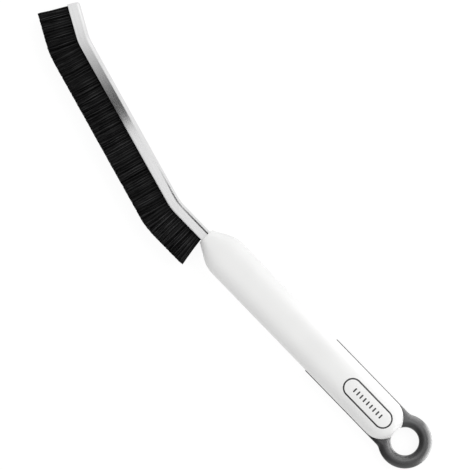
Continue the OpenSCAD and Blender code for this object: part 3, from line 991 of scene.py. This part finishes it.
def beside(d, off, up):
    """A point beside the line: off towards the bristles and up towards the front."""
    a, point = math.radians(heading(d)), line_point(d)
    return (point.x - off * math.sin(a), point.y + off * math.cos(a), strip_z + up)


tip = line_point(strip_end)
print(f"the strip runs {strip_end:.1f} mm out of the nose, to {tip.x:.1f}, {tip.y:.1f}")

# %% [markdown]
# The sheet is brushed along its length before it is rolled, so its finish needs directions that
# bend with the strip. Each point of the mesh keeps how far along the strip and how far round the
# section it lies, in an attribute, as that needs no unwrapping. The brushing is a noise stretched
# along the strip, in the bump, the gloss and the tint.

# %% Brushed steel
steel = Finish("strip_steel", (0.74, 0.74, 0.745), Metallic=1.0, Roughness=0.24)
run = steel.node("Attribute", {"attribute_name": "run"}, output="Vector")
lines = steel.noise(run * (0.08, 9.0, 1.0), 1.0, 3.0, 0.6)
drawn = steel.noise(run * (0.02, 2.2, 1.0), 1.0, 2.0)
cloud = steel.noise(run * (0.12, 0.12, 1.0), 1.0, 2.0)
steel.feed("Roughness", 0.19 + 0.06 * lines + 0.03 * cloud)
tint = 0.6 * drawn + 0.6 * lines - 0.1
steel.paint((0.66, 0.66, 0.665), (0.84, 0.84, 0.84), tint)
steel.bump(lines, 0.00001, 0.5)
steel.report()

# %% Strip
STRIP_D = 5.6
STRIP_WALL = 0.5
SPINE_R = 2.2
TIP_CORNER_R = 1.2
SPINE_STEPS = 14
STRIP_EDGE = 0.1
lip_off = STRIP_D / 2


def spine_low(d):
    """Where the spine lies off the line: it is drawn in at the rounded corner of the tip."""
    left = strip_end - d
    if left >= TIP_CORNER_R:
        return -lip_off
    return -lip_off + TIP_CORNER_R - math.sqrt(TIP_CORNER_R ** 2 - (TIP_CORNER_R - left) ** 2)


def channel_side(inset, low):
    """One skin of the section, from the front lip round the spine to the back lip."""
    r, half = SPINE_R - inset, strip_w / 2 - inset
    corner = arc((low + inset + r, half - r), r, 90, 180, SPINE_STEPS)
    walls = [(off, half) for off in np.linspace(lip_off, corner[0][0], 4)[:-1]]
    front = walls + corner
    return front + [(off, -up) for off, up in reversed(front)]


def channel_section(low):
    return channel_side(0.0, low) + list(reversed(channel_side(STRIP_WALL, low)))


def strip_places():
    """Distances along the strip at which its section is set."""
    places = [-shank_len]
    for stretch_to, steps in ((near_from, 13), (near_to, 13), (far_from, 29), (far_to, 13),
                              (strip_end - TIP_CORNER_R, 7)):
        places += list(np.linspace(places[-1], stretch_to, steps + 1)[1:])
    return places + [strip_end - TIP_CORNER_R * (1 - math.sin(math.radians(a)))
                     for a in range(15, 91, 15)]


def strip_mesh():
    """The channel, with its way along and its way round kept at every point."""
    places = strip_places()
    rings = [[beside(d, off, up) for off, up in channel_section(spine_low(d))] for d in places]
    mesh = loft("strip_form", rings)
    section = channel_section(-lip_off)
    around = [0.0]
    for a, b in zip(section, section[1:]):
        around.append(around[-1] + math.dist(a, b))
    run = mesh.attributes.new("run", "FLOAT_VECTOR", "POINT")
    run.data.foreach_set("vector", [v for d in places for s in around for v in (d, s, 0.0)])
    return soften(mesh, STRIP_EDGE, 50)


new_piece("strip_rolled", strip_mesh(), steel, "strip_channel")

# %% [markdown]
# The bristles are black nylon filaments, folded round a wire that the channel grips. Hair particles
# would need a renderer's own strands, which an exported mesh loses, so every filament is a thin
# three-sided tube. Its painted light and shade is kept at every point in an attribute, as the
# material alone can't tell one filament from the next.

# %% Black nylon
nylon = Finish("black_nylon", (0.006, 0.006, 0.0065), Roughness=0.42, Specular_IOR_Level=0.1)
# The attribute read here holds painted light and shade: painted highlights on some tufts and
# painted shade at the roots and cut ends, over a random tone.
shade = nylon.node("Attribute", {"attribute_name": "shade"}, output="Fac")
along = nylon.noise(nylon.position(), 900, 2.0)
level = shade * (0.7 + 0.6 * along)
nylon.paint((0.0004, 0.0004, 0.0005), (0.06, 0.06, 0.061), level)
nylon.feed("Roughness", 0.36 + 0.2 * along)
nylon.report()

# %% [markdown]
# Neighbours lean the same way, as filaments do that were cut from one hank, so slow waves along the
# strip lean whole groups. The first bristles lean a little towards the nose and the last ones flare
# towards the tip. A sum of two waves gives some tufts a painted highlight and the next painted
# shade.

# %% Lean and shade
HEEL_GAP = TIP_GAP = 0.8
HEEL_LEAN = 9.5
HEEL_FADE = 12.0
TIP_FLARE = 2.0
TIP_FADE = 7.0
WAVES = 9
WAVE_RATES = (0.3, 2.5)
WAVE_SIZES = (0.3, 1.0)
# Waves and levels of the painted highlights and painted shade by tuft:
BROAD_TUFT = (5.1, 1.9, 3)
FINE_TUFT = (8.7, -2.3)
TUFT_BASE = 0.04
TUFT_SWING = 0.44
TUFT_CALM = 0.16
TUFT_SPREAD = 0.36
DRIFT = (0.42, 0.26)
SPLAY = (0.9, 0.1)
SWAY_PHASE = (9, 0.5)
# Phase of the painted highlight patches along each filament, shared by a hank and its own.
PATCH_PHASE = (4, 0.6)


def lean_at(d):
    """Angle of the bristles' direction to the part's Y, in degrees."""
    heel = HEEL_LEAN * max(0.0, 1 - (d - HEEL_GAP) / HEEL_FADE) ** 2
    flare = TIP_FLARE * max(0.0, 1 - (strip_end - TIP_GAP - d) / TIP_FADE) ** 2
    return heading(d) + heel - flare


def hank_waves(seed):
    """Slow waves along the strip, which lean whole groups of filaments."""
    chance = random.Random(seed)
    waves = [(chance.uniform(*WAVE_RATES), chance.uniform(0, 2 * math.pi),
              chance.uniform(*WAVE_SIZES)) for _ in range(WAVES)]
    return lambda d: sum(size * math.sin(d * rate + phase) for rate, phase, size in waves) / WAVES


def painted_tuft_shading(d, across, chance):
    """Painted highlight or painted shade of a filament's tuft, over a random tone, calmer towards
    the tip.
    """
    by_d, by_across, by_hank = BROAD_TUFT
    broad = math.sin(by_d * d + by_across * across + by_hank * outwards(d))
    fine = math.sin(FINE_TUFT[0] * d + FINE_TUFT[1] * across)
    swing = TUFT_SWING - TUFT_CALM * d / strip_end
    level = TUFT_BASE + swing * (broad + fine) + TUFT_SPREAD * chance.random() ** 2
    return min(1.0, max(0.0, level))


def varied(shared, sizes, chance):
    """What a whole hank shares, and a filament's own chance on top, each by its size."""
    return sizes[0] * shared + chance.gauss(0, sizes[1])


sideways, outwards = hank_waves(3), hank_waves(4)
print(f"the bristles lean from {lean_at(HEEL_GAP):.1f} to {lean_at(strip_end):.1f} degrees")

# %% [markdown]
# Each filament tapers a little, bends away from its straight line and sways about it. Some end
# short, which gives the brush its soft dark edge.

# %% One filament
BRISTLE_LEN = 14.4
BRISTLE_R = 0.125
BRISTLE_LEVELS = (0.0, 0.16, 0.42, 0.68, 0.9, 1.0)
TAPER = 0.3
RAGGED = 0.65
UNEVEN = 0.4
SHORT_SHARE = 0.03
SHORT_BY = (0.2, 0.9)
BEND_POWER = 1.6
SWAY = 0.13
SWAY_RATE = 2.4
ROOT_CLEAR = 0.05
ROOT_HALF = strip_w / 2 - STRIP_WALL - ROOT_CLEAR
ROOT_SINK = 1.2


def filament(d, across, chance):
    """One bristle's points, ring by ring from its root to its tip."""
    root = Vector(beside(d, lip_off - ROOT_SINK, across))
    lean = math.radians(lean_at(d))
    length = BRISTLE_LEN + ROOT_SINK - RAGGED * chance.random() ** 2 - UNEVEN * abs(outwards(d))
    if chance.random() < SHORT_SHARE:
        length -= chance.uniform(*SHORT_BY)
    straight = Vector((-math.sin(lean), math.cos(lean), 0))
    along = Vector((math.cos(lean), math.sin(lean), 0))
    drift = varied(sideways(d), DRIFT, chance)
    drift = max(HEEL_GAP - d, min(drift, strip_end - TIP_GAP - BRISTLE_R - d))
    lift = varied(across / ROOT_HALF, SPLAY, chance)
    turn = chance.uniform(0, 2 * math.pi)
    phase = varied(sideways(d), SWAY_PHASE, chance)
    points = []
    for share in BRISTLE_LEVELS:
        sway = SWAY * share * math.sin(SWAY_RATE * math.pi * share + phase)
        bent = (along * drift + UP * lift) * share ** BEND_POWER + along * sway
        middle = root + straight * length * share + bent
        r = BRISTLE_R * (1 - TAPER * share)
        for q in range(3):
            a = turn + 2 * math.pi * q / 3
            points.append(middle + (along * math.cos(a) + UP * math.sin(a)) * r)
    return points


print(f"a filament has {3 * len(BRISTLE_LEVELS)} points over {BRISTLE_LEN} mm")

# %% [markdown]
# The filaments stand in rows and columns, each a little off its place, and closer together where a
# bend fans them out. Each has painted shade at its root and at its cut end, and a painted highlight
# between. The folded roots, which close the channel under them, are one ridge with painted shade.

# %% Runs of bristles
BRISTLE_PITCH = 0.24
BRISTLE_ROWS = 14
ROW_SHIFT = 0.35
ROW_SPAN = 0.96
FAN_REACH = 14.0
FAN_STEP = 0.1
# Painted shade at a filament's root and cut end and a painted highlight between, one factor per
# level.
PAINTED_SHADING_BY_LEVEL = (0.1, 0.45, 1.0, 1.1, 0.9, 0.35)
# Patches of painted highlight along each filament.
PATCH_SWING = 0.45
PATCH_RATE = 7
ROOT_LOW = -0.6
ROOT_SIDE = 0.6
ROOT_TOP = 0.35
ROOT_FLAT = 0.6
ROOT_STEP = 1.5
# Painted shade of the folded roots down in the channel.
ROOT_PAINTED_SHADE = 0.05
BRISTLE_SHARP = 80


def bristle_columns(start, end):
    """Places along the strip for the filaments, closer together where a bend fans them out."""
    d, places = start, []
    while d < end:
        places.append(d)
        fan = math.radians(abs(lean_at(d + FAN_STEP) - lean_at(d - FAN_STEP))) / (2 * FAN_STEP)
        d += BRISTLE_PITCH / (1 + FAN_REACH * fan)
    return places


def root_ridge(start, end):
    """The points of the folded roots between two distances along the strip, ring by ring."""
    edge = [(ROOT_LOW, ROOT_HALF), (lip_off - ROOT_SIDE, ROOT_HALF),
            (lip_off - ROOT_TOP, ROOT_FLAT * ROOT_HALF)]
    section = edge + [(off, -up) for off, up in reversed(edge)]
    places = np.linspace(start, end, max(3, round((end - start) / ROOT_STEP)))
    return [[Vector(beside(float(d), off, up)) for off, up in section] for d in places]


def bristle_run(name, start, end, seed, node):
    """The bristles between two distances along the strip, with their folded roots."""
    chance = random.Random(seed)
    points, faces, painted_shading_values = [], [], []
    columns = bristle_columns(start, end)
    for column in columns:
        for r in range(BRISTLE_ROWS):
            d = column + chance.uniform(0, 1) * BRISTLE_PITCH
            row = r + 0.5 + chance.uniform(-ROW_SHIFT, ROW_SHIFT)
            across = ROOT_HALF * (2 * row / BRISTLE_ROWS - 1)
            faces.extend(skin_faces(len(points), 3, len(BRISTLE_LEVELS)))
            points.extend(filament(d, across * ROW_SPAN, chance))
            # Painted light and shade: by tuft, by level along the filament and in patches along it.
            level = painted_tuft_shading(d, across, chance)
            patch = varied(outwards(d), PATCH_PHASE, chance)
            for share, shade in zip(BRISTLE_LEVELS, PAINTED_SHADING_BY_LEVEL):
                swing = 1 + PATCH_SWING * math.sin(PATCH_RATE * share + patch)
                painted_shading_values.extend([level * shade * swing] * 3)
    ridge = root_ridge(start, end)
    faces.extend(skin_faces(len(points), len(ridge[0]), len(ridge)))
    for ring in ridge:
        points.extend(ring)
        painted_shading_values.extend([ROOT_PAINTED_SHADE] * len(ring))
    mesh = mesh_of(name, points, faces)
    mesh.attributes.new("shade", "FLOAT", "POINT").data.foreach_set("value", painted_shading_values)
    print(f"{name}: {len(columns) * BRISTLE_ROWS} filaments")
    new_piece(name, smooth(mesh, BRISTLE_SHARP), nylon, node)


near_middle = (near_from + near_to) / 2
far_middle = (far_from + far_to) / 2
bristle_run("heel_filaments", HEEL_GAP, near_middle, 11, "bristles_heel")
bristle_run("middle_filaments", near_middle, far_middle, 12, "bristles_middle")
bristle_run("tip_filaments", far_middle, strip_end - TIP_GAP, 13, "bristles_tip")

# %% [markdown]
# Two pieces of the solid model are right as they are: the core wire, whose cut end shows at the tip
# of the strip, and the two pins inside the handle. They only get their metals.

# %% Wire and pins
wire = Finish("drawn_wire", (0.5, 0.5, 0.51), Metallic=1.0, Roughness=0.35)
scale = wire.noise(wire.position(), 1500, 3.0)
wire.feed("Roughness", 0.28 + 0.2 * scale)
wire.paint((0.42, 0.42, 0.43), (0.58, 0.58, 0.58), scale)
wire.bump(scale, 0.00001, 0.3)

pins = Finish("ground_pin", (0.6, 0.6, 0.61), Metallic=1.0, Roughness=0.2)
rings = pins.noise(pins.position() * (200, 200, 9000), 1.0, 2.0)
pins.feed("Roughness", 0.16 + 0.14 * rings)
pins.paint((0.55, 0.55, 0.56), (0.66, 0.66, 0.67), rings)

for node, finish, slot in (("core_wire", wire, "wire_steel"), ("shank_pins", pins, "pin_steel")):
    finish.report()
    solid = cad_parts[node]
    solid.data.materials.clear()
    solid.data.materials.append(finish.material)

# %% [markdown]
# The dressed brush is as big as the solid one, apart from the last filaments, whose flare reaches
# 0.7 mm further along X. Both boxes are kept and printed, so they can be compared.

# %% Keep both boxes
dressed_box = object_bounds()
for name, (low, high) in (("solid", solid_box), ("dressed", dressed_box)):
    print(name, [round(v / MM, 2) for v in (high - low)], "mm")
